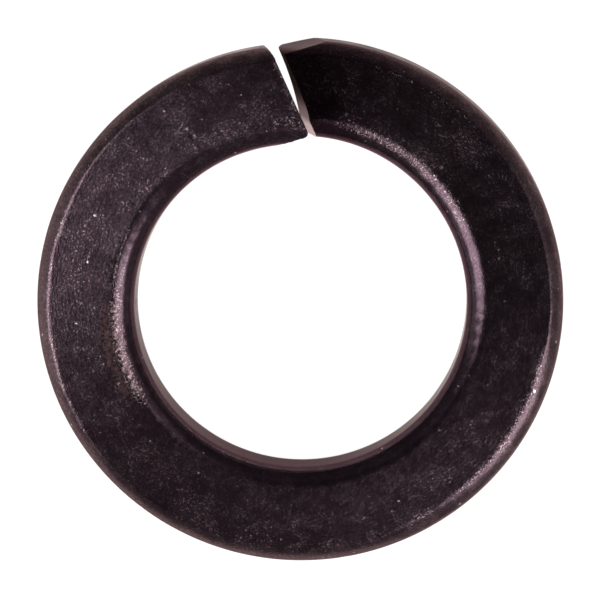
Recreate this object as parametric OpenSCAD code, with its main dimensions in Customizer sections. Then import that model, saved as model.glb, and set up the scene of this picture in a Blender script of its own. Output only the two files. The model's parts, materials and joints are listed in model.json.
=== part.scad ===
// Split spring lock washer for a 20 mm bolt: one turn of keystone wire, coiled on edge
// as a left-hand helix and sheared through on a slant, so that the raised end bites
// when a right-hand nut turns back. The bore axis is Z and the split faces -Y.
// The low end is on the -X side of the split, and the coil rises from it clockwise.

/* [Coil] */
// Diameter of the bore
bore_d = 20.5; // [20.2:0.1:21.2]
// Radial width of the wire
wire_w = 6; // [5.8:0.1:6.2]
// Thickness of the wire at the bore, where coiling squeezes it thicker
bore_t = 4.2; // [4:0.05:4.4]
// Thickness of the wire at the rim, where coiling draws it thinner
rim_t = 4; // [3.8:0.05:4.2]
// Height gained in one full turn
rise = 5; // [4.6:0.1:5.4]

/* [Rolled edges] */
// Radius of the two edges at the rim
rim_r = 0.9; // [0.6:0.05:1.2]
// Radius of the two edges at the bore
bore_r = 1.1; // [0.7:0.05:1.3]

/* [Split] */
// Width of the gap, measured along the coil at the middle of the wire
gap = 1.08; // [1:0.01:2]
// Slant of the low end's cut from the radius
low_slant = 17; // [10:0.5:24]
// Slant of the raised end's cut from the radius
raised_slant = 21.4; // [10:0.1:24]
// Lean of both cuts from the upright, which gives the raised end its sharp top edge
lean = 10; // [5:0.5:15]

/* [Worn corners] */
// Radius of the raised end's rim corner, seen from above
rim_roll = 1.1; // [0.4:0.05:1.4]
// Radius of the raised end's bore corner, seen from above
bore_roll = 0.5; // [0.2:0.05:0.8]
// Length along the bore over which the raised end narrows
narrow_l = 2.4; // [1:0.1:3]
// How far that stretch turns away from the bore
narrow_turn = 10; // [0:0.5:12]
// Width at the cut of the flat that narrows along the low end's rim
flat_w = 0.8; // [0.5:0.05:1]
// Length of that flat along the rim
flat_l = 2.9; // [1.5:0.1:3]
// How steeply that flat falls towards the rim
flat_slope = 83.5; // [75:0.5:86]
// Radial width of the facet on the low end's bore corner
facet_w = 0.95; // [0.4:0.05:1.2]
// Slant of that facet from the radius
facet_slant = 31; // [28:1:40]

/* [Hidden] */

bore_radius = bore_d / 2;
rim_radius = bore_radius + wire_w;
mid_radius = bore_radius + wire_w / 2;

rings = 120; // sections along the coil
arc_steps = 5; // steps round each rolled edge
face_steps = 4; // steps across each face
skin = 0.03; // the swept wall stands this proud until the true walls trim it
depth = 3; // more than any worn corner takes away
between = (rise + bore_t) / 2; // height of the clearance between the two ends

// Where each cut crosses the middle of the wire, measured along the coil from the front
low_mid = gap / 2 - rise * tan(lean) / 2;
raised_mid = -low_mid;

// Half the wire's thickness at a radius
function half_t(r) = (bore_t + (rim_t - bore_t) * (r - bore_radius) / wire_w) / 2;

// A point on a rolled edge of the upper face: side is 1 at the rim and -1 at the bore,
// and turn runs from 0 on the wall to 90 on the face
function edge_point(side, turn) =
    let (radius = side > 0 ? rim_r : bore_r,
         centre = (side > 0 ? rim_radius : bore_radius) - side * radius,
         reach = turn == 0 ? radius + skin : radius * cos(turn))
    [centre + side * reach, half_t(centre) - radius * (1 - sin(turn))];

// The upper half of the keystone section, from rim to bore, as radius and height
rim_face = rim_radius - rim_r;
bore_face = bore_radius + bore_r;
upper_half = concat(
    [for (i = [0:arc_steps]) edge_point(1, 90 * i / arc_steps)],
    [for (i = [1:face_steps - 1])
        let (r = rim_face + (bore_face - rim_face) * i / face_steps) [r, half_t(r)]],
    [for (i = [arc_steps:-1:0]) edge_point(-1, 90 * i / arc_steps)]);
halves = len(upper_half);
section = concat(upper_half,
                 [for (i = [halves - 1:-1:0]) [upper_half[i].x, -upper_half[i].y]]);
n = len(section);

// Angle along the coil at which a slanted, leaning cut passes a section point.
// Each pass allows for the height that the coil has gained at the angle found before.
function cut_angle(p, mid, slant, passes = 3) =
    let (gained = passes == 0 ? 0 : rise * cut_angle(p, mid, slant, passes - 1) / 360,
         along = mid + (p.y + gained) * tan(lean))
    asin((along * cos(slant) + mid_radius * sin(slant)) / p.x) - slant;

function low_angle(p) = cut_angle(p, low_mid, low_slant);
function raised_angle(p) = 360 + cut_angle(p, raised_mid, raised_slant);

// Height of the wire's middle at the front, which sets the low end down on the ground
foot = max([for (p = section) -p.y - rise * low_angle(p) / 360]);

// A section point on one ring: the first ring lies in the low cut, the last in the raised
function ring_point(p, ring) =
    let (angle = low_angle(p) + (raised_angle(p) - low_angle(p)) * ring / rings)
    [-p.x * sin(angle), -p.x * cos(angle), foot + p.y + rise * angle / 360];

// The two triangles of a quad
function quad(a, b, c, d) = [[a, b, c], [a, c, d]];

// The wire as one swept solid, a hair oversize at its two walls
module swept_wire() {
    sides = [for (ring = [0:rings - 1], i = [0:n - 1])
        let (a = ring * n + i, b = ring * n + (i + 1) % n)
        each quad(a, a + n, b + n, b)];
    low_end = [for (i = [0:halves - 2]) each quad(i, i + 1, n - 2 - i, n - 1 - i)];
    raised_end = [for (i = [0:halves - 2], last = [rings * n])
        each quad(last + n - 1 - i, last + n - 2 - i, last + i + 1, last + i)];
    polyhedron([for (ring = [0:rings], p = section) ring_point(p, ring)],
               concat(sides, low_end, raised_end), convexity = 6);
}

// The true walls: the bore and the rim are exact cylinders
module true_walls() {
    difference() {
        translate([0, 0, -1]) cylinder(h = rise + bore_t + 2, r = rim_radius, $fn = 180);
        translate([0, 0, -2]) cylinder(h = rise + bore_t + 4, r = bore_radius, $fn = 180);
    }
}

// Distance along the coil at which a cut's top edge passes a given distance forward
function top_edge(mid, slant, forward) =
    mid + half_t(mid_radius) * tan(lean) - (forward - mid_radius) * tan(slant);

// Moves its children to a place given by its distance along the coil, forward and up.
// Their X then runs along the coil, turned by an angle towards the rim, and Y forward.
module at_front(along, forward, up, turn) {
    translate([-along, -forward, up]) rotate([0, 0, 180 + turn]) children();
}

// Moves its children to a radius and an angle along the coil, with their X outwards
module at_angle(radius, angle, up) {
    rotate([0, 0, -90 - angle]) translate([radius, 0, up]) children();
}

// What a corner loses when it is rolled to a round, over the angle between the outward
// directions of its two sides. The first side faces X.
module off_corner(radius, spread) {
    linear_extrude(rise)
        difference() {
            polygon(radius * [[0, 0], [1, 0], 2 * [cos(spread / 2), sin(spread / 2)],
                              [cos(spread), sin(spread)]]);
            circle(r = radius, $fn = 48);
        }
}

// How far the top edge of the raised cut passes from the axis
raised_reach = top_edge(raised_mid, raised_slant, mid_radius) * cos(raised_slant)
    + mid_radius * sin(raised_slant);

// What the raised end lacks at the rim
module off_raised_rim() {
    centre_r = rim_radius - rim_roll;
    angle = asin((raised_reach - rim_roll) / centre_r) - raised_slant;
    at_angle(centre_r, angle, between) off_corner(rim_roll, raised_slant + angle - 90);
}

// What the raised end lacks at the bore, where it narrows to a rolled corner
module off_raised_bore() {
    at_cut = raised_angle([bore_radius, half_t(bore_radius)]) - 360;
    start = at_cut - narrow_l / bore_radius * 180 / PI;
    at_angle(bore_radius, start, between)
        rotate([0, 0, narrow_turn])
            translate([-depth, -2 * depth, 0])
                cube([depth, 2 * depth, rise]);

    aim = start - narrow_turn;
    from_bore = bore_radius * cos(narrow_turn) + bore_roll;
    from_cut = raised_reach - bore_roll;
    along = from_cut * cos(aim) - from_bore * sin(raised_slant);
    forward = from_bore * cos(raised_slant) - from_cut * sin(aim);
    translate([-along, -forward, 0] / cos(aim + raised_slant) + [0, 0, between])
        rotate([0, 0, 90 - aim])
            off_corner(bore_roll, 90 + raised_slant + aim);
}

// Keeps only what lies below the clearance, so that a cut misses the raised end
module low_only() {
    intersection() {
        children();
        translate([-rim_radius, -2 * rim_radius, -1])
            cube([2 * rim_radius, 2 * rim_radius, between + 1]);
    }
}

// What the flat takes off the low end's rim
module off_low_rim() {
    forward = rim_radius - flat_w;
    along = top_edge(low_mid, low_slant, forward);
    rim_there = sqrt(rim_radius ^ 2 - (along + flat_l) ^ 2);
    low_only()
        at_front(along, forward, bore_t, atan2(rim_there - forward, flat_l))
            rotate([-flat_slope, 0, 0])
                translate([-depth, -2 * depth, 0])
                    cube([2 * depth + flat_l, 4 * depth, depth]);
}

// What the shear took off the low end's bore corner
module off_low_bore() {
    forward = bore_radius + facet_w;
    along = top_edge(low_mid, low_slant, forward);
    low_only()
        at_front(along, forward, bore_t, facet_slant)
            rotate([0, lean, 0])
                translate([-depth, -depth, -2 * depth])
                    cube([depth, depth + facet_w / 2, 3 * depth]);
}

module spring_washer() {
    color([0.16, 0.13, 0.14])
        difference() {
            intersection() {
                swept_wire();
                true_walls();
            }
            off_raised_rim();
            off_raised_bore();
            off_low_rim();
            off_low_bore();
        }
}

spring_washer();
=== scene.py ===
# %% [markdown]
# # A spring lock washer in black steel
# A spring lock washer is one turn of flat-sided wire, wound on edge into a ring and
# sheared through. It is left as a helix, so that a nut squeezes it and its two sharp
# ends bite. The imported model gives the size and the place. This script builds the
# finer mesh that is seen, its black oxide skin and a small studio round it.

# %% Load the frame
import json
import math
import bmesh
import bpy
from mathutils import Matrix, Vector, noise


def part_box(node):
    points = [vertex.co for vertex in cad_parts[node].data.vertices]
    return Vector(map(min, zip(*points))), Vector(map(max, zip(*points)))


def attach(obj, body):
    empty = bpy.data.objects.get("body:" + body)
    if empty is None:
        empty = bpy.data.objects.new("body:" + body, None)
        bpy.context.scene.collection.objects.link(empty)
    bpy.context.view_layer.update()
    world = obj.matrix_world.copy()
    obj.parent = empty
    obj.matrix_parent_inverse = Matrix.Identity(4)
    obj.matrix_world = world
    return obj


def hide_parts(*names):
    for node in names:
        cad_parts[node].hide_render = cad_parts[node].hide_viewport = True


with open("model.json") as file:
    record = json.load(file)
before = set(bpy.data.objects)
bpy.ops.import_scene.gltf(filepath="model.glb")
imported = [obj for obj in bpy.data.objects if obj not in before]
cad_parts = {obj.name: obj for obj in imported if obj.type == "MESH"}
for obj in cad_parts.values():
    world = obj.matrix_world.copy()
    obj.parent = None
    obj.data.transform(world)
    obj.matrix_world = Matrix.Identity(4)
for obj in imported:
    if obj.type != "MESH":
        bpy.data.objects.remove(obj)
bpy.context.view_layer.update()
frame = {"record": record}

# %% [markdown]
# ## Sizes
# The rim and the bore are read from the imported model, and what it can't say is named
# here: how the wire's section tapers, how far it rises in a turn, and how each end was
# sheared and worn. A distance at the split is given along the coil, clockwise from the
# front, then forward from the axis, then up.

# %% Sizes of the wire and its two ends
MM = 0.001
UPRIGHT = math.pi / 2
low_corner, high_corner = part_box("spring_washer")
mounts = {mount["name"]: mount for mount in frame["record"]["mounts"]}
bore_radius = mounts["bore"]["dims"]["r_mm"] * MM
rim_radius = high_corner.x
wire_width = rim_radius - bore_radius
mid_radius = bore_radius + wire_width / 2

bore_thickness, rim_thickness = 4.2 * MM, 4.0 * MM
mid_thickness = (bore_thickness + rim_thickness) / 2
rise = 5.0 * MM
rim_edge, bore_edge = 0.9 * MM, 1.1 * MM

gap = 1.08 * MM
low_slant, raised_slant = math.radians(17), math.radians(21.4)
lean = math.radians(10)
low_mid = gap / 2 - rise * math.tan(lean) / 2
raised_mid = -low_mid

print("wire", round(wire_width / MM, 2), "mm wide round a bore of radius",
      round(bore_radius / MM, 2), "mm")

# %% [markdown]
# ## The wire's section
# Coiling squeezes the wire at the bore and stretches it at the rim, so its section is a
# keystone with four rolled edges. A curve with a bevel object would also do, but four
# vertices with their corners bevelled keep every radius exact and easy to read. The upper
# face and its edges get more points than the lower ones, because they are looked at most.

# %% The keystone section
rim_segments, bore_segments = (6, 13), (15, 7)
wall_cuts, top_cuts, bottom_cuts = 6, 29, 11


def keystone_section():
    """A bmesh with the wire's outline as a closed ring of edges, at the front."""
    bm = bmesh.new()
    corners = [bm.verts.new((0, -radius, side * thickness / 2))
               for radius, thickness, side in ((rim_radius, rim_thickness, -1),
                                               (rim_radius, rim_thickness, 1),
                                               (bore_radius, bore_thickness, 1),
                                               (bore_radius, bore_thickness, -1))]
    bm.faces.new(corners)
    for corner, radius, segments in zip(corners, (rim_edge, rim_edge, bore_edge, bore_edge),
                                        rim_segments + bore_segments):
        bmesh.ops.bevel(bm, geom=[corner], offset=radius, segments=segments, profile=0.5,
                        affect="VERTICES", material=-1)
    bmesh.ops.delete(bm, geom=bm.faces[:], context="FACES_ONLY")
    walls = [edge for edge in bm.edges if edge.calc_length() > rim_thickness / 3]
    face_height = mid_thickness / 2.1
    upright = [edge for edge in walls if edge.calc_length() < wire_width / 2]
    top = [edge for edge in walls if edge.verts[0].co.z > face_height]
    bottom = [edge for edge in walls if edge.verts[0].co.z < -face_height]
    for cuts, chosen in ((wall_cuts, upright), (top_cuts, top), (bottom_cuts, bottom)):
        bmesh.ops.subdivide_edges(bm, edges=chosen, cuts=cuts)
    return bm


outline = keystone_section()
print("the section has", len(outline.verts), "vertices")
outline.free()


# %% [markdown]
# ## Lengths of coil
# Spin turns the section about the bore's axis, and its dvec lifts each step, which makes
# a helix. The coil starts before the split and ends after it, so that there is waste for
# the shears to cut. It is made in lengths that are welded later, because spin slows down
# as a mesh grows, and because a cut must not reach the other end, which lies close by.

# %% Spin the coil
def coil_length(first, last, steps):
    """A length of coil between two angles, measured clockwise from the front."""
    bm = keystone_section()
    angle = math.radians(last - first)
    bmesh.ops.rotate(bm, verts=bm.verts, cent=(0, 0, 0),
                     matrix=Matrix.Rotation(-math.radians(first), 3, "Z"))
    bmesh.ops.translate(bm, verts=bm.verts, vec=(0, 0, rise * first / 360))
    bmesh.ops.spin(bm, geom=bm.verts[:] + bm.edges[:], cent=(0, 0, 0), axis=(0, 0, -1),
                   dvec=(0, 0, rise * angle / math.tau / steps), angle=angle, steps=steps)
    return bm


waste, length = 9, 27  # degrees of coil
count, steps = 14, 62
lengths = [coil_length(length * i - waste, length * (i + 1) - waste, steps)
           for i in range(count)]
low_end, raised_end = lengths[0], lengths[-1]
print(count, "lengths of coil,", sum(len(bm.faces) for bm in lengths), "faces")

# %% [markdown]
# ## The shears
# Each end is cut on a slant, and the cut leans, which leaves the raised end with a sharp
# top edge. bisect_plane does this as the shear does: one flat plane, and the waste falls
# off. The hole that it leaves is filled with one flat face. A boolean with a big box
# would give the same shape with many more triangles to clean up. A plane that passes just
# beside a ring of vertices would leave slivers, which shade badly. So those vertices
# slide along the coil onto the plane instead, which keeps them on the bore and the rim.

# %% A cut
SHEARED = 1  # place in the washer's list of materials, after the oxide
hair = 0.01 * MM
# A vertex may slide along the coil onto a plane only if the plane lies well across it
facing_coil = 0.8


def at_front(along, forward, up, turned=0.0):
    """A placement at the split. Its X runs along the coil, turned towards the rim."""
    return (Matrix.Translation((-along, -forward, up))
            @ Matrix.Rotation(math.pi + turned, 4, "Z"))


def cut(bm, placement, outward, near=hair):
    """Cuts along a plane, drops what lies outward of it and closes the hole. A vertex
    that is near the plane slides along the coil onto it, which leaves no slivers."""
    normal = placement.to_3x3() @ Vector(outward).normalized()
    made = bmesh.ops.bisect_plane(bm, geom=bm.verts[:] + bm.edges[:] + bm.faces[:], dist=near,
                                  plane_co=placement.translation, plane_no=normal,
                                  clear_outer=True)
    for vert in made["geom_cut"]:
        if isinstance(vert, bmesh.types.BMVert):
            along_coil = Vector((vert.co.y, -vert.co.x, 0)).normalized()
            if abs(along_coil.dot(normal)) > facing_coil:
                off = (vert.co - placement.translation).dot(normal)
                vert.co -= along_coil * off / along_coil.dot(normal)
    border = [part for part in made["geom_cut"]
              if isinstance(part, bmesh.types.BMEdge) and part.is_boundary]
    for face in bmesh.ops.contextual_create(bm, geom=border)["faces"]:
        face.material_index = SHEARED


# %% Shear the two ends
half_a_step = 0.047 * MM
for bm, mid, slant, side in ((low_end, low_mid, low_slant, -1),
                             (raised_end, raised_mid, raised_slant, 1)):
    up = 0 if side < 0 else rise
    cut(bm, at_front(mid, mid_radius, up, slant),
        (side, 0, -side * math.tan(lean) * math.cos(slant)), near=half_a_step)

# The low end's lowest corner stands on the ground
foot = low_corner.z - min(vert.co.z for vert in low_end.verts)
for bm in lengths:
    bmesh.ops.translate(bm, verts=bm.verts, vec=(0, 0, foot))
print("the wire's middle stands", round(foot / MM, 3), "mm up at the front")

# %% [markdown]
# ## Worn corners
# The raised end has lost its two corners to a round, and narrows a little towards the
# bore. The low end has a flat that runs out along the rim and a facet at the bore. Each
# is another plane through the same cut, and a round is a fan of narrow cuts, as a file
# would make it. A bevel on the slanted corner edge would give a round that leans.

# %% Sizes of the worn corners
rim_roll, bore_roll = 1.1 * MM, 0.3 * MM
narrow_length, narrow_turn = 2.4 * MM, math.radians(10)
flat_width, flat_length, flat_slope = 0.8 * MM, 2.9 * MM, math.radians(83.5)
facet_width, facet_slant = 0.95 * MM, math.radians(31)
bottom_roll, bottom_forward, bottom_from = 0.3 * MM, 15.5 * MM, math.radians(112)


def top_edge(mid, slant, forward):
    """Distance along the coil at which a cut's top edge passes a distance forward."""
    return mid + mid_thickness / 2 * math.tan(lean) - (forward - mid_radius) * math.tan(slant)


# %% A rounded corner
def round_corner(bm, along, forward, radius, first, last, cuts=9):
    """Rounds a corner about an upright axis, between two directions measured from the
    coil's direction towards the rim."""
    for step in range(cuts):
        turned = first + (last - first) * (step + 0.5) / cuts
        cut(bm, at_front(along, forward, 0, turned) @ Matrix.Translation((radius, 0, 0)),
            (1, 0, 0))


# %% Round the raised end's corner at the rim
reach = (top_edge(raised_mid, raised_slant, mid_radius) * math.cos(raised_slant)
         + mid_radius * math.sin(raised_slant))
centre_radius = rim_radius - rim_roll
angle = math.asin((reach - rim_roll) / centre_radius) - raised_slant
round_corner(raised_end, centre_radius * math.sin(angle), centre_radius * math.cos(angle),
             rim_roll, UPRIGHT - angle, raised_slant)
print("the raised cut passes", round(reach / MM, 2), "mm from the axis")

# %% Narrow the raised end at the bore and round its corner
start = math.asin(reach / bore_radius) - raised_slant - narrow_length / bore_radius
aim = start - narrow_turn
cut(raised_end, at_front(bore_radius * math.sin(start), bore_radius * math.cos(start), 0,
                         -UPRIGHT - aim), (1, 0, 0))
from_bore = bore_radius * math.cos(narrow_turn) + bore_roll
from_cut = reach - bore_roll
spread = math.cos(aim + raised_slant)
round_corner(raised_end,
             (from_cut * math.cos(aim) - from_bore * math.sin(raised_slant)) / spread,
             (from_bore * math.cos(raised_slant) - from_cut * math.sin(aim)) / spread,
             bore_roll, -UPRIGHT - aim, raised_slant, cuts=5)
print("raised end:", len(raised_end.faces), "faces")

# %% Cut the low end's flat at the rim and facet at the bore
forward = rim_radius - flat_width
along = top_edge(low_mid, low_slant, forward)
rim_there = math.sqrt(rim_radius ** 2 - (along + flat_length) ** 2)
cut(low_end, at_front(along, forward, bore_thickness,
                      math.atan2(rim_there - forward, flat_length)),
    (0, math.sin(flat_slope), math.cos(flat_slope)))
forward = bore_radius + facet_width
cut(low_end, at_front(top_edge(low_mid, low_slant, forward), forward, bore_thickness,
                      facet_slant), (-math.cos(lean), 0, math.sin(lean)))
print("low end:", len(low_end.faces), "faces")

# %% Round the low end's bottom corner at the rim
along = (low_mid - mid_thickness / 2 * math.tan(lean)
         - (bottom_forward - mid_radius) * math.tan(low_slant)
         + bottom_roll / math.cos(low_slant))
round_corner(low_end, along, bottom_forward, bottom_roll, bottom_from, math.pi + low_slant,
             cuts=5)
print("low end, all cuts made:", len(low_end.faces), "faces")

# %% [markdown]
# ## One ring
# The lengths share a ring of vertices at each joint, so copying them into one mesh and
# merging doubles welds them. A sheared edge is crisp but never a knife, so each edge that
# turns by more than 25 degrees gets a small bevel, whose thin round catches light. The
# sheared faces get an inset, which keeps the bevel's shading off their flats.

# %% Weld the ring and soften its sheared edges
weld = 0.004 * MM
fine_edge = 0.04 * MM
sharp_turn = math.radians(25)
flat_area, flat_inset = 0.5 * MM ** 2, 0.05 * MM

ring = bmesh.new()
for bm in lengths:
    part = bpy.data.meshes.new("length")
    bm.to_mesh(part)
    bm.free()
    ring.from_mesh(part)
    bpy.data.meshes.remove(part)
bmesh.ops.remove_doubles(ring, verts=ring.verts, dist=weld)
bmesh.ops.recalc_face_normals(ring, faces=ring.faces)
sharp = [edge for edge in ring.edges
         if edge.is_manifold and edge.calc_face_angle(0) > sharp_turn]
bmesh.ops.bevel(ring, geom=sharp, offset=fine_edge, segments=2, profile=0.5,
                affect="EDGES", material=-1)
flats = [face for face in ring.faces if face.calc_area() > flat_area]
bmesh.ops.inset_individual(ring, faces=flats, thickness=flat_inset)
print("ring:", len(ring.faces), "faces,", len(sharp), "edges softened,", len(flats),
      "flats,", sum(not edge.is_manifold for edge in ring.edges), "open,",
      round(ring.calc_volume() / MM ** 3, 1), "cubic mm")

# %% [markdown]
# ## Places along the coil
# The finish follows the wire: its grain runs along the coil, and its wear keeps to the
# rolled edges. So each vertex stores its place on the wire in millimetres, as distance
# along the coil, radius, and height above the wire's middle. A UV map holds only two of
# these, and would need a seam round the section.

# %% Store each vertex's place on the wire
place = ring.verts.layers.float_vector.new("wire_place")
between = low_corner.z + (rise + bore_thickness) / 2  # a height between the two ends
near_split = 0.06  # turns


def turns_from_front(co):
    """How many turns along the coil a point is, counted from the low end."""
    turns = math.atan2(-co.x, -co.y) / math.tau
    if abs(turns) < near_split:
        return turns + (co.z > between)
    return turns % 1


def fade(value, start, end):
    """Rises smoothly from 0 to 1 between two values."""
    share = min(max((value - start) / (end - start), 0), 1)
    return share * share * (3 - 2 * share)


def mark_places():
    """Stores every vertex's place on the wire."""
    for vert in ring.verts:
        turns = turns_from_front(vert.co)
        vert[place] = (turns * math.tau * mid_radius / MM, vert.co.xy.length / MM,
                       (vert.co.z - foot - rise * turns) / MM)


mark_places()
print("the coil runs from", round(min(vert[place].x for vert in ring.verts), 2), "to",
      round(max(vert[place].x for vert in ring.verts), 2), "mm")

# %% [markdown]
# ## A hollow cut
# The low end's shear left its face a little hollow, like a saddle seen from above, so the
# gap narrows to nothing at the bore. A hollow can't be cut with planes, so the flat face
# is first sliced into upright strips, and then the vertices near it slide along the coil.
# A curved cutter and a boolean would also do, but sliding keeps the mesh as clean as it was.

# %% Slice the low end's cut
strip_count, strip_area = 14, 0.2 * MM ** 2
for step in range(1, strip_count):
    strips = [face for face in ring.faces if face.material_index == SHEARED
              and face.calc_area() > strip_area and face.calc_center_median().z < between]
    forward = bore_radius + wire_width * step / strip_count
    edges = dict.fromkeys(edge for face in strips for edge in face.edges)
    verts = dict.fromkeys(vert for face in strips for vert in face.verts)
    bmesh.ops.bisect_plane(ring, geom=strips + list(edges) + list(verts), dist=hair,
                           plane_co=(0, -forward, 0), plane_no=(0, 1, 0))
mark_places()
print("the low cut is now in", strip_count, "strips")


# %% Hollow the low end's cut
def hollow(radius, height):
    """How far the low cut slides along the coil, in mm, at a radius and height. Its top
    and its bottom are bowed about different radii, and the top is twisted back too."""
    up = (height + 2) / 4
    twist = 0.12 * fade(radius, 11.6, 13.4) * fade(radius, 16.2, 14.4)
    at_bottom = 0.05 - 0.030 * (radius - 14.1) ** 2
    at_top = 0.10 - 0.050 * (radius - 13.3) ** 2 - twist
    return (1 - up) * at_bottom + up * at_top


all_slide, none_slide = 0.8, 4.5  # mm along the coil
slid = 0
for vert in ring.verts:
    along, radius, height = vert[place]
    if along < none_slide:
        slide = fade(along, none_slide, all_slide) * hollow(radius, height)
        vert.co.xy = Matrix.Rotation(-slide / radius, 2) @ vert.co.xy
        vert.co.y = max(vert.co.y, low_corner.y)
        slid = max(slid, abs(slide))
print("the low cut slides by up to", round(slid, 2), "mm")

# %% [markdown]
# ## Pressed face and worn edges
# The wire was drawn, pressed flat and coiled, so a soft crease runs where each flat face
# meets a rolled edge, and it wanders by a few hundredths of a millimetre. Beyond the crease
# the edge falls away slowly at first and then faster, and that curve decides how wide a
# light shines in it. A bevel's round can't have such a curve, so each edge gets a formula:
# how far the surface has fallen at each distance beyond its crease.

# %% Bands along the coil
LIP_RADIUS = (bore_radius + bore_edge) / MM + 0.15
LIP_FROM, LIP_TO = 0.655, 0.845  # turns
soft_end = 0.03  # turns


def band(turns, radius, first, last, middle, reach):
    """How much of a point lies in a band along the coil, from 0 to 1."""
    return (fade(turns, first, first + soft_end) * fade(turns, last, last - soft_end)
            * fade(abs(radius - middle), reach, 0))


# %% How far the edges have worn
def half_thickness(radius):
    """Half the wire's thickness between its two flat faces, in mm."""
    across = (radius * MM - bore_radius) / wire_width
    return (bore_thickness + (rim_thickness - bore_thickness) * across) / 2 / MM


def worn_rim(beyond, slope, curve):
    """How far, in mm, the rim's edge has fallen at a distance beyond its crease."""
    beyond = max(beyond, 0)
    return slope * beyond + beyond ** 2 / curve / 2


def worn_bore(from_wall, edge, knee, crease, curve):
    """How far, in mm, the bore's edge has fallen at a distance from its wall: it is a
    tight round as far as the knee, and a wider one from there to its crease."""
    height = math.sqrt(edge ** 2 - (edge - knee) ** 2)
    reach = ((edge - knee) / height - crease) * curve
    rest = min(max(knee + reach - from_wall, 0), reach)
    fallen = crease * rest + rest ** 2 / curve / 2
    if from_wall < knee:
        fallen += height - math.sqrt(edge ** 2 - (edge - max(from_wall, 0)) ** 2)
    return fallen


# %% How far they have worn at each place along the coil
RIM_CREASE = 15.44  # radius, mm


def worn_edges(turns, radius, wander):
    """How much lower than its flat the face is, in mm, where its two edges have worn."""
    from_wall = radius - bore_radius / MM
    from_wall -= wander * fade(from_wall, 0.1, 0.7)
    at_lip = fade(turns, LIP_FROM, 0.70) * fade(turns, 0.99, 0.81)
    at_side = fade(turns, 0.34, 0.26)
    at_bulge = fade(turns, 0.27, 0.31) * fade(turns, 0.46, 0.42)
    rim = worn_rim(beyond=radius - (RIM_CREASE - 0.22 * at_bulge) - wander,
                   slope=0.28 - 0.20 * at_bulge, curve=0.8 + 0.5 * at_bulge)
    bore = worn_bore(from_wall, edge=1.1 + 0.1 * at_lip,
                     knee=0.62 + 0.08 * at_lip + 0.05 * at_side,
                     crease=0.04 + 0.06 * at_lip + 0.04 * at_side,
                     curve=1.1 + 0.6 * at_lip + 0.75 * at_side)
    return rim + bore


print("at the lip the worn edge meets the bore's wall",
      round(worn_edges(0.75, bore_radius / MM, 0), 2), "mm below the flat")


# %% [markdown]
# ## Dents and a flaked lip
# The surface is never quite even, small chips are missing from it, and along one stretch
# the scale has flaked off the crease at the bore. All of this is real shape, so the
# vertices move along their normals by noises of several sizes, and then down to the worn
# face. It only ever takes metal away, which keeps the ring inside its size. Displace
# modifiers could add the noises, but they can't tell one edge of the wire from another.
# Near the two ends there are no dents, so that the cuts stay crisp.

# %% Press and dent the surface
whole_from, dented_from = 3.2, 5.5  # mm from either end
one_turn = 83  # mm, at the middle of the wire
end_whole, end_dented = 1 - whole_from / one_turn, 1 - dented_from / one_turn
broad_dent, fine_dent, flake_depth, chip_depth = 0.003, 0.0015, 0.05, 0.05  # mm
pressed_depth, pressed_wave = 0.010, 0.004  # mm
broad_wander, fine_wander = 0.05, 0.03  # mm
other_place = Vector((7, 3, 1))
shortest_edge = 0.012 * MM

ring.normal_update()
for vert in ring.verts:
    along, radius, height = vert[place]
    turns = along * MM / (math.tau * mid_radius)
    at = vert.co / MM
    broad, fine = noise.noise(at * 0.45), noise.noise(at * 1.7)
    away = fade(along, whole_from, dented_from) * fade(turns, end_whole, end_dented)
    depth = away * (broad_dent * (1 + broad) + fine_dent * (1 + fine))
    if height > 0:
        flaked = max(noise.noise(at * 3.1) + 0.6 * noise.noise(at * 7.3), 0)
        at_lip = band(turns, radius, LIP_FROM, LIP_TO, LIP_RADIUS, 0.7)
        depth += away * flake_depth * flaked * at_lip
        depth += away * chip_depth * max(noise.noise(at * 2.3 + other_place) - 0.45, 0)
    vert.co -= vert.normal * depth * MM
    wander = broad_wander * broad + fine_wander * fine
    pressed = pressed_depth + pressed_wave * broad + worn_edges(turns, radius, wander)
    over = height - depth - (half_thickness(radius) - pressed)
    if over > 0:
        vert.co.z -= over * MM
bmesh.ops.dissolve_degenerate(ring, edges=ring.edges, dist=shortest_edge)
bmesh.ops.recalc_face_normals(ring, faces=ring.faces)
print("pressed:", len(ring.faces), "faces,", sum(not edge.is_manifold for edge in ring.edges),
      "open")

# %% [markdown]
# ## Where it has worn
# Rubbing brightens the creases, rust starts beside the flaked lip, and dust settles in
# patches. Such things lie in known places, so a second attribute holds how scraped, how
# rusty and how dusty each vertex is, as three smooth shares. Only the upper half of the
# wire is marked, and with it the sharp edge of the raised cut. The materials later break
# the shares up into flakes and specks that are finer than the mesh. Vertex colours
# painted by hand would do too, but a list of patches is easier to read and to change.

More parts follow.
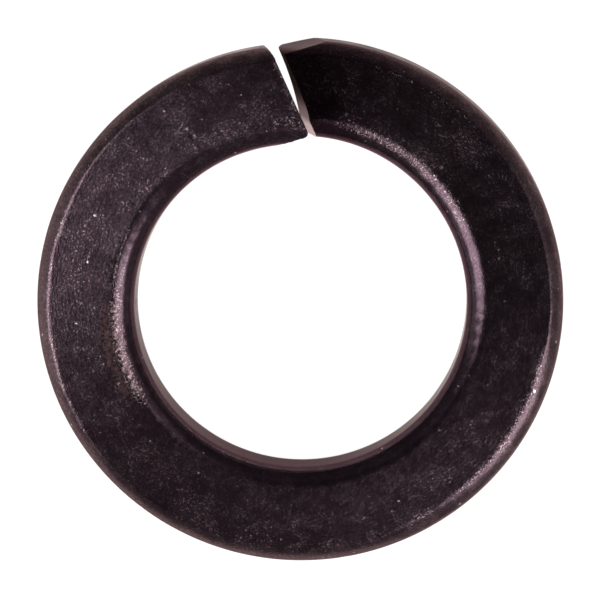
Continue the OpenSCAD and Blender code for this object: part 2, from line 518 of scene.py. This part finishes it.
# %% Patches of wear and dust
# Each patch: its two ends in turns, its middle radius and its reach in mm, its share
scraped = ((LIP_FROM, 0.785, LIP_RADIUS - 0.12, 0.50, 0.70),
           (0.76, LIP_TO, LIP_RADIUS, 0.16, 0.6),
           (LIP_FROM, 0.80, LIP_RADIUS - 0.38, 0.45, 0.55),
           (0.655, 0.85, RIM_CREASE, 0.18, 0.45),
           (0.27, 0.42, 15.25, 0.3, 0.5),
           (0.035, 0.15, 15.36, 0.10, 0.4),
           (0.03, 0.20, 11.30, 0.55, 0.50),
           (0.97, 1.05, 11.7, 0.7, 0.35))
rusty = ((0.66, 0.78, 12.0, 0.8, 0.95),
         (0.58, 0.69, 13.1, 1.9, 0.4),
         (0.955, 1.02, 15.0, 1.2, 0.25),
         (0.40, 0.70, 15.3, 0.6, 0.45))
dusty = ((0.84, 1.05, 12.0, 1.5, 0.8),
         (0.02, 0.16, 11.8, 1.1, 1.1),
         (-0.05, 0.10, 13.4, 3.0, 0.45),
         (0.97, 1.05, 13.3, 4.0, 0.8),
         (0.80, 1.03, 13.6, 3.2, 0.5),
         (0.08, 0.22, 14.2, 2.2, 0.9),
         (0.38, 0.60, 15.1, 0.9, 0.9),
         (0.50, 0.90, 13.6, 3.4, 0.5),
         (0.40, 0.62, 14.2, 2.6, 0.7),
         (0.27, 0.46, 15.1, 0.7, 0.8),
         (0.20, 0.46, 13.4, 2.6, 0.6))
print(len(scraped), "scraped,", len(rusty), "rusty and", len(dusty), "dusty patches")

# %% Mark the worn places
worn = ring.verts.layers.float_vector.new("worn")
cut_edge_share = 0.35
marked = 0
for vert in ring.verts:
    along, radius, height = vert[place]
    turns = along * MM / (math.tau * mid_radius)
    if height > 0:
        from_cut = (reach + vert.co.x * math.cos(raised_slant)
                    + vert.co.y * math.sin(raised_slant)) / MM
        shares = [max(share * band(turns, radius, first, last, middle, wide)
                      for first, last, middle, wide, share in patches)
                  for patches in (scraped, rusty, dusty)]
        at_cut_edge = cut_edge_share * fade(from_cut, 0.4, 0.1) * fade(turns, 0.9, 0.95)
        shares[0] = max(shares[0], at_cut_edge)
        vert[worn] = shares
        marked += max(shares) > 0
print("marked", marked, "of", len(ring.verts), "vertices")

# %% [markdown]
# ## The washer as an object
# The ring is one piece of steel, so it is one object, and it replaces the imported node,
# which is hidden. It is shaded smooth, and a weighted normal modifier makes the large flat
# faces win over the small rounds beside them, so the flats stay flat in a reflection. The
# alternative, an edge split, would open the mesh along every crease.

# %% The mesh object
mesh = bpy.data.meshes.new("washer")
for face in ring.faces:
    face.smooth = True
ring.to_mesh(mesh)
ring.free()
washer = bpy.data.objects.new("washer", mesh)
bpy.context.scene.collection.objects.link(washer)
weighted = washer.modifiers.new("flat faces stay flat", "WEIGHTED_NORMAL")
weighted.weight = 50
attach(washer, "root")
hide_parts("spring_washer")
print("washer:", len(mesh.polygons), "faces")

# %% [markdown]
# ## Node helpers
# A node tree is easier to read when each node is one line. add() makes a node and gives
# each input a value or a link, and three more helpers wrap the nodes used most. A group
# of nodes is made once with new_group() and placed in a material with use(). Copying its
# nodes into each material would work too, but a change would then be made twice.

# %% Node helpers
def give(tree, made, inputs):
    """Gives each named input of a node a value or a link."""
    for name, value in inputs.items():
        if isinstance(value, bpy.types.NodeSocket):
            tree.links.new(value, made.inputs[name])
        else:
            made.inputs[name].default_value = value


def add(tree, kind, inputs, **settings):
    """Adds a node with its settings and its inputs."""
    made = tree.nodes.new("ShaderNode" + kind)
    for name, value in settings.items():
        setattr(made, name, value)
    give(tree, made, inputs)
    return made


def mix(tree, share, first, second):
    """Mixes two colours."""
    return add(tree, "Mix", {0: share, 6: first, 7: second}, data_type="RGBA").outputs[2]


def remap(tree, value, low, high, to_low=0.0, to_high=1.0):
    """Maps a value smoothly from one range to another."""
    return add(tree, "MapRange", {"Value": value, 1: low, 2: high, 3: to_low, 4: to_high},
               interpolation_type="SMOOTHSTEP").outputs[0]


def maths(tree, operation, first, second=0.0, third=0.0):
    """Works out a sum, product or the like of two or three values."""
    return add(tree, "Math", {0: first, 1: second, 2: third}, operation=operation).outputs[0]


# %% Node groups
def new_group(name, inputs, outputs):
    """An empty node group with its sockets, as the tree, its input and its output node."""
    tree = bpy.data.node_groups.new(name, "ShaderNodeTree")
    for label, value in inputs:
        kind = "NodeSocketVector" if value is None else "NodeSocketFloat"
        socket = tree.interface.new_socket(label, in_out="INPUT", socket_type=kind)
        if value is not None:
            socket.default_value = value
    for label in outputs:
        tree.interface.new_socket(label, in_out="OUTPUT", socket_type="NodeSocketFloat")
    return tree, tree.nodes.new("NodeGroupInput").outputs, tree.nodes.new("NodeGroupOutput")


def use(tree, group, inputs):
    """Places a node group in a tree and returns its outputs."""
    return add(tree, "Group", inputs, node_tree=group).outputs


# %% [markdown]
# ## Coil grain
# Drawing the wire left fine scratches along it, and the oxide grew on them as a velvet of
# tiny bright points. One noise, stretched along the coil, makes both: its height goes to
# the bump, and its highest tips are the points. Stretching is done by scaling the place
# on the wire before the noise reads it.

# %% Group: coil grain
grain, given, made = new_group("coil grain",
                               (("Place", None), ("Along", 5.0), ("Across", 12.0),
                                ("Share", 0.5)), ("Height", "Points"))
scale = add(grain, "CombineXYZ",
            {"X": given["Along"], "Y": given["Across"], "Z": given["Across"]})
spot = add(grain, "VectorMath", {0: given["Place"], 1: scale.outputs[0]}, operation="MULTIPLY")
tips = add(grain, "TexNoise", {"Vector": spot.outputs[0], "Scale": 1.0, "Detail": 2.0,
                               "Roughness": 0.7}).outputs["Fac"]
grain.links.new(tips, made.inputs["Height"])
above = maths(grain, "MULTIPLY_ADD", given["Share"], 0.07, tips)
grain.links.new(remap(grain, above, 0.62, 0.74), made.inputs["Points"])
print(grain.name, "has", len(grain.nodes), "nodes")

# %% [markdown]
# ## Mottling
# Oxide never takes evenly. Clouds about a millimetre across make some places duller and
# browner than others. A soft noise with some distortion gives cloud edges that curl.

# %% Group: mottling
mottling, given, made = new_group("mottling", (("Place", None), ("Scale", 0.8)), ("Value",))
clouds = add(mottling, "TexNoise", {"Vector": given["Place"], "Scale": given["Scale"],
                                    "Detail": 5.0, "Roughness": 0.62, "Distortion": 0.5})
mottling.links.new(remap(mottling, clouds.outputs["Fac"], 0.32, 0.68), made.inputs["Value"])
print(mottling.name, "has", len(mottling.nodes), "nodes")

# %% [markdown]
# ## Specks
# Dust and tiny chips are scattered points of many sizes. A Voronoi texture gives each
# cell one point, and the cell's own random colour says how large its speck is, so most
# cells show none. Random geometry would look the same and cost thousands of pieces.

# %% Group: specks
specks, given, made = new_group("specks", (("Place", None), ("Per mm", 2.0), ("Share", 0.1),
                                           ("Size", 0.2)), ("Value",))
warp = add(specks, "TexNoise", {"Vector": given["Place"], "Scale": 9.0, "Detail": 2.0})
bent = add(specks, "VectorMath", {0: warp.outputs["Color"], 1: (0.12, 0.12, 0.12),
                                  2: given["Place"]}, operation="MULTIPLY_ADD")
cells = add(specks, "TexVoronoi", {"Vector": bent.outputs[0], "Scale": given["Per mm"]})
lot = add(specks, "SeparateColor", {0: cells.outputs["Color"]})
chosen = maths(specks, "LESS_THAN", lot.outputs[0], given["Share"])
size = maths(specks, "MULTIPLY", given["Size"], maths(specks, "ADD", lot.outputs[1], 0.4))
near = maths(specks, "SUBTRACT", 1.0, maths(specks, "DIVIDE", cells.outputs["Distance"], size))
specks.links.new(maths(specks, "MULTIPLY", chosen, remap(specks, near, 0.0, 0.5)),
                 made.inputs["Value"])
print(specks.name, "has", len(specks.nodes), "nodes")

# %% [markdown]
# ## Flakes
# Where an edge is scraped, the oxide comes off in ragged flakes, and fully only where it
# is scraped most. So a noise is added to the smooth share before a threshold: a low share
# leaves a few islands, and a high one leaves only a few holes. Thin curling lines, where
# the scale has begun to lift, run where a second noise passes its middle value. Flakes
# cut into the mesh would cast shadows, but need a hundred times its vertices.

# %% Group: flakes
flakes, given, made = new_group("flakes", (("Place", None), ("Share", 0.0), ("Scale", 5.0)),
                                ("Mask", "Curls"))
ragged = add(flakes, "TexNoise", {"Vector": given["Place"], "Scale": given["Scale"],
                                  "Detail": 4.0, "Roughness": 0.7})
held = maths(flakes, "MULTIPLY_ADD", ragged.outputs["Fac"], 4.0, given["Share"])
flakes.links.new(maths(flakes, "MULTIPLY", remap(flakes, held, 2.65, 2.95),
                       remap(flakes, given["Share"], 0.0, 0.1)), made.inputs["Mask"])
curl = add(flakes, "TexNoise", {"Vector": given["Place"], "Scale": 2.2, "Detail": 1.0,
                                "Distortion": 1.5})
line = maths(flakes, "ABSOLUTE", maths(flakes, "SUBTRACT", curl.outputs["Fac"], 0.5))
flakes.links.new(maths(flakes, "MULTIPLY", remap(flakes, line, 0.016, 0.0),
                       remap(flakes, given["Share"], 0.05, 0.4)), made.inputs["Curls"])
print(flakes.name, "has", len(flakes.nodes), "nodes")

# %% [markdown]
# ## Black oxide
# The skin is steel under a thin black oxide, so it is a metal with a very dark, slightly
# purple tone: it shows the lights sharply and is almost black between them. A glossy
# black plastic would look alike from the front, but its highlights would be white. The
# groups add, in this order, cloudy mottling, bright points, rust, scraped metal and dust.

# %% A new surface
STEEL_TINT = (0.62, 0.50, 0.53, 1)


def surface(name, roughness):
    """A new material, its tree, its shader and the place on the wire that it reads."""
    material = bpy.data.materials.new(name)
    material.use_nodes = True
    tree = material.node_tree
    shader = tree.nodes["Principled BSDF"]
    shader.inputs["Metallic"].default_value = 0.9
    shader.inputs["Roughness"].default_value = roughness
    shader.inputs["Specular Tint"].default_value = STEEL_TINT
    on_wire = add(tree, "Attribute", {}, attribute_name="wire_place").outputs["Vector"]
    return material, tree, shader, on_wire


# %% Material: black oxide, its clouds and its velvet
oxide_tone, cloud_tone = (0.045, 0.025, 0.035, 1), (0.056, 0.034, 0.045, 1)
blot_tone, pit_tone = (0.026, 0.014, 0.020, 1), (0.020, 0.011, 0.016, 1)
# The low end's tone is painted shade: near the split the raised end stands over the low end's
# face and keeps the light off it
rim_tone, low_end_painted_shade_tone = (0.105, 0.064, 0.073, 1), (0.018, 0.007, 0.012, 1)
point_tone = (0.27, 0.18, 0.205, 1)

oxide, tree, shader, on_wire = surface("black oxide", 0.22)
wear = add(tree, "Attribute", {}, attribute_name="worn").outputs["Vector"]
scrape_share, rust_share, dust_share = add(tree, "SeparateXYZ", {0: wear}).outputs
clouds = use(tree, mottling, {"Place": on_wire, "Scale": 0.8})["Value"]
blots = use(tree, mottling, {"Place": on_wire, "Scale": 2.2})["Value"]
drawn = use(tree, grain, {"Place": on_wire, "Along": 2.6, "Across": 8.0})
point_share = maths(tree, "MULTIPLY", maths(tree, "MULTIPLY_ADD", dust_share, 0.8, 0.4),
                    remap(tree, clouds, 0.0, 0.9, 0.3, 1.0))
velvet = use(tree, grain,
             {"Place": on_wire, "Along": 8.5, "Across": 9.5, "Share": point_share})
tone = mix(tree, clouds, oxide_tone, cloud_tone)
axes = add(tree, "SeparateXYZ", {0: on_wire}).outputs
tone = mix(tree, remap(tree, blots, 0.40, 0.0, 0.0, 0.5), tone, blot_tone)
rim_share = maths(tree, "MULTIPLY", remap(tree, axes["Y"], 15.35, 15.8),
                  remap(tree, clouds, 0.0, 0.8, 0.65, 1.0))
tone = mix(tree, rim_share, tone, rim_tone)
tone = mix(tree, remap(tree, velvet["Height"], 0.38, 0.58, 0.5, 0.0), tone, pit_tone)
# Painted shade: the face darkens over the first 8 mm of coil from the low end, where the
# raised end shades it
tone = mix(tree, remap(tree, axes["X"], 8.0, 3.0, 0.0, 0.7), tone, low_end_painted_shade_tone)
points = maths(tree, "MULTIPLY", velvet["Points"], point_share)
tone = mix(tree, points, tone, point_tone)
print(oxide.name, "has", len(tree.nodes), "nodes so far")

# %% Material: black oxide, its rust, scrapes and dust
rust_tone, dust_tone = (0.050, 0.019, 0.013, 1), (0.42, 0.30, 0.32, 1)
dull_metal, bright_metal = (0.13, 0.078, 0.086, 1), (0.38, 0.25, 0.275, 1)

rust = use(tree, flakes, {"Place": on_wire, "Share": rust_share, "Scale": 3.4})["Mask"]
tone = mix(tree, maths(tree, "MULTIPLY", rust, 0.5), tone, rust_tone)
scrape = use(tree, flakes, {"Place": on_wire, "Share": scrape_share, "Scale": 6.0})
bare = maths(tree, "MAXIMUM", scrape["Mask"], scrape["Curls"])
metal = mix(tree, remap(tree, velvet["Height"], 0.40, 0.60), dull_metal, bright_metal)
tone = mix(tree, bare, tone, metal)
dust = use(tree, specks,
           {"Place": on_wire, "Per mm": 1.8, "Share": 0.22, "Size": 0.14})["Value"]
tone = mix(tree, dust, tone, dust_tone)
tree.links.new(tone, shader.inputs["Base Color"])
print(oxide.name, "has", len(tree.nodes), "nodes so far")

# %% Material: black oxide, its gloss and its relief
dusted = maths(tree, "MULTIPLY", dust_share, 0.25)
dull = maths(tree, "MAXIMUM", maths(tree, "MAXIMUM", bare, rust),
             maths(tree, "MULTIPLY_ADD", rim_share, 0.9, dusted))
rough = maths(tree, "MULTIPLY_ADD", dull, 0.18, remap(tree, clouds, 0.0, 1.0, 0.17, 0.21))
tree.links.new(rough, shader.inputs["Roughness"])
height = maths(tree, "MULTIPLY_ADD", velvet["Height"], 0.6, drawn["Height"])
height = maths(tree, "MULTIPLY_ADD", bare, -0.25, height)
bump = add(tree, "Bump", {"Height": height, "Strength": 0.8, "Distance": 0.009 * MM})
tree.links.new(bump.outputs[0], shader.inputs["Normal"])
mesh.materials.append(oxide)
print(oxide.name, "has", len(tree.nodes), "nodes")

# %% [markdown]
# ## Sheared steel
# The shears tore the wire rather than cut it, so the two end faces are rougher and duller
# than the drawn skin. They were blackened with the rest, except for a facet at the low
# end's bore corner, which was broken off later and is still bright. The middle of the low
# end's face has painted shade: it is made brown and nearly black, with a dimmed reflection,
# because light hardly reaches it. The same groups serve here with other values, which is
# what groups are for.

# %% Material: sheared
torn_tone, clouded_tone = (0.050, 0.029, 0.035, 1), (0.085, 0.055, 0.062, 1)
# Painted shade for the middle of the low end's cut face: a dark brown tone, and a red tint
# that dims its reflection
painted_shade_tone, painted_shade_tint = (0.026, 0.013, 0.013, 1), (0.10, 0.03, 0.02, 1)
grit_tone, fresh_tone = (0.25, 0.20, 0.22, 1), (0.46, 0.36, 0.38, 1)
sheared_roughness = 0.38

sheared, tree, shader, on_wire = surface("sheared steel", sheared_roughness)
clouds = use(tree, mottling, {"Place": on_wire, "Scale": 1.2})["Value"]
fine = use(tree, grain, {"Place": on_wire, "Along": 8.0, "Across": 8.0})
tone = mix(tree, clouds, torn_tone, clouded_tone)
axes = add(tree, "SeparateXYZ", {0: on_wire}).outputs
at_low_end = remap(tree, axes["X"], 20.0, 10.0)
middle = maths(tree, "MULTIPLY", remap(tree, axes["Y"], 11.6, 13.6),
               remap(tree, axes["Y"], 15.8, 15.3))
# Painted shade: the middle of the low end's cut face, which light hardly reaches, is made dark
# and its reflection dimmed
painted_shade_share = maths(tree, "MULTIPLY", middle, at_low_end)
tone = mix(tree, painted_shade_share, tone, painted_shade_tone)
tree.links.new(mix(tree, painted_shade_share, STEEL_TINT, painted_shade_tint), shader.inputs["Specular Tint"])
tree.links.new(maths(tree, "MULTIPLY_ADD", painted_shade_share, 0.40, sheared_roughness),
               shader.inputs["Roughness"])
shader.inputs["Specular IOR Level"].default_value = 0.1
tone = mix(tree, maths(tree, "MULTIPLY", fine["Points"], 0.3), tone, grit_tone)
fresh = maths(tree, "MULTIPLY", remap(tree, axes["Y"], 11.5, 11.0), at_low_end)
tone = mix(tree, fresh, tone, fresh_tone)
tree.links.new(tone, shader.inputs["Base Color"])
bump = add(tree, "Bump", {"Height": fine["Height"], "Strength": 0.5, "Distance": 0.01 * MM})
tree.links.new(bump.outputs[0], shader.inputs["Normal"])
mesh.materials.append(sheared)
print(sheared.name, "has", len(tree.nodes), "nodes")

# %% [markdown]
# ## Camera
# The camera looks almost straight down on the ring, from a little towards its split and a
# little to its side, with a long lens, so that the ring is hardly in perspective. Its
# direction comes from the tilt of the bore's axis in the view, and its place is given in
# rim radii, so it would follow if the ring were resized. A Track To constraint would aim
# it too, but a plain matrix says exactly which way is up.

# %% Camera
lean_side, lean_front = 0.0543, 0.1632  # how far the bore's axis leans in the view
camera_turn = math.radians(182.51)
camera_place = Vector((-0.0075, 0.0092, 10.183))  # across, up and away, in rim radii
lens, sensor = 159.2, 36  # mm

centre = Vector((0, 0, (low_corner.z + high_corner.z) / 2))
seen_axis = Vector((-lean_side, -lean_front, 1)).normalized()
level = Vector((0, 0, 1)).rotation_difference(seen_axis).to_matrix()
from_camera = (level @ Matrix.Rotation(camera_turn, 3, "Z")).transposed()
camera_data = bpy.data.cameras.new("camera")
camera_data.lens, camera_data.sensor_width = lens, sensor
camera_data.clip_start, camera_data.clip_end = 0.01, 10
camera = bpy.data.objects.new("camera", camera_data)
camera_at = centre + rim_radius * (from_camera @ camera_place)
camera.matrix_world = Matrix.Translation(camera_at) @ from_camera.to_4x4()
bpy.context.scene.collection.objects.link(camera)
bpy.context.scene.camera = camera
print("camera", round(camera_at.length, 3), "m from the origin, lens", lens, "mm")

# %% [markdown]
# ## Lights
# Dark metal shows its lights more than itself. Two softboxes stand behind the ring, left
# and right, and each draws a thin bright line where a worn edge turns towards it. Large
# dim screens lower down give the walls a soft sheen. Their size sets how wide a line is,
# and their radiance how bright, so a softbox is given by its radiance and not by its
# power, which would change with its size.

# %% Lights
softbox_away = 0.5  # m
softbox_tone = (0.90, 1.0, 0.93)


def softbox(name, azimuth, zenith, width, height, radiance):
    """A softbox at an angle round the axis, in degrees from X, and one from overhead."""
    data = bpy.data.lights.new(name, "AREA")
    data.shape = "RECTANGLE"
    data.size, data.size_y = width, height
    data.energy = radiance * math.pi * width * height
    data.color = softbox_tone
    lamp = bpy.data.objects.new(name, data)
    bpy.context.scene.collection.objects.link(lamp)
    around, down = math.radians(azimuth), math.radians(zenith)
    away = Vector((math.sin(down) * math.cos(around), math.sin(down) * math.sin(around),
                   math.cos(down)))
    lamp.location = centre + away * softbox_away
    lamp.rotation_mode = "QUATERNION"
    lamp.rotation_quaternion = away.to_track_quat("Z", "Y")


softbox("left softbox", 18, 36, 0.22, 0.26, 8.5)
softbox("right softbox", 143, 36, 0.19, 0.27, 8.5)
softbox("left screen", 10, 66, 0.40, 0.45, 1.0)
softbox("right screen", 148, 64, 0.36, 0.50, 0.2)
softbox("far right screen", 185, 36, 0.20, 0.34, 0.5)

# %% [markdown]
# ## Studio
# What the flat faces show is the room, so the world is not one grey: it is darkest
# straight overhead, where the camera is, and lighter towards the horizon and the back.
# To the camera itself it is plain white, which gives the pale background. An image of a
# real studio would do the same, but a few nodes are easier to change.

# %% Studio
world = bpy.data.worlds.new("studio")
bpy.context.scene.world = world
world.use_nodes = True
tree = world.node_tree
direction = add(tree, "TexCoord", {}).outputs["Generated"]
axes = add(tree, "SeparateXYZ", {0: direction}).outputs
towards_back = remap(tree, axes["Y"], -0.8, 0.4, 0.12, 0.30)
overhead = remap(tree, axes["Z"], 0.84, 0.985, 1.0, 0.09)
glow = maths(tree, "MULTIPLY", towards_back, overhead)
seen = add(tree, "LightPath", {}).outputs["Is Camera Ray"]
white = (1, 1, 1, 1)
sky = mix(tree, seen, glow, white)
tree.links.new(sky, tree.nodes["Background"].inputs["Color"])
print(world.name, "has", len(tree.nodes), "nodes")

# %% [markdown]
# ## Floor
# The ring lies on a white table that is lit so strongly that it shows no shadow. So the
# floor glows: plain white to the camera, and a little warm and dimmer to everything else.
# The table inside the ring is lit less at the back, because the ring's own wall stands in
# the way, and its nodes work that out from the distance to the axis. A stronger lamp from
# below would light the table as well, but it would also flood the ring's rim.

# %% Floor
floor_reach = 0.6  # m, from its middle to each side
floor_mesh = bpy.data.meshes.new("floor")
floor_bm = bmesh.new()
bmesh.ops.create_grid(floor_bm, x_segments=1, y_segments=1, size=floor_reach)
floor_bm.to_mesh(floor_mesh)
floor_bm.free()
floor_mesh.transform(Matrix.Translation((0, 0, low_corner.z)))
floor = bpy.data.objects.new("floor", floor_mesh)
bpy.context.scene.collection.objects.link(floor)
print("floor at", round(low_corner.z / MM, 3), "mm")

# %% Material: white table
warm_paper, grey_paper = (0.75, 0.74, 0.68, 1), (0.12, 0.12, 0.12, 1)
glow_round, glow_inside = (1, 0.98, 0.90, 1), (1, 0.86, 0.84, 1)
to_front = (-0.26, -0.97, 0.0)

paper = bpy.data.materials.new("white table")
paper.use_nodes = True
tree = paper.node_tree
table = tree.nodes["Principled BSDF"]
table.inputs["Roughness"].default_value = 0.9
table.inputs["Specular IOR Level"].default_value = 0.0
seen = add(tree, "LightPath", {}).outputs["Is Camera Ray"]
tree.links.new(mix(tree, seen, warm_paper, grey_paper), table.inputs["Base Color"])
on_floor = add(tree, "TexCoord", {}).outputs["Object"]
front = add(tree, "VectorMath", {0: on_floor, 1: to_front}, operation="DOT_PRODUCT")
from_axis = add(tree, "VectorMath", {0: on_floor}, operation="LENGTH")
inside = remap(tree, from_axis.outputs["Value"], 0.0095, 0.0105, 1.0, 0.0)
warm = mix(tree, inside, glow_round, glow_inside)
tree.links.new(mix(tree, seen, warm, white), table.inputs["Emission Color"])
nearer = remap(tree, front.outputs["Value"], -0.004, 0.003, -0.3, 0.3)
lit = maths(tree, "MULTIPLY_ADD", inside, nearer, 0.68)
unseen = maths(tree, "SUBTRACT", 1.0, seen)
strength = maths(tree, "ADD", seen, maths(tree, "MULTIPLY", unseen, lit))
tree.links.new(strength, table.inputs["Emission Strength"])
floor_mesh.materials.append(paper)
print(paper.name, "has", len(tree.nodes), "nodes")

# %% View
bpy.context.scene.view_settings.view_transform = "Standard"
print("view transform:", bpy.context.scene.view_settings.view_transform)
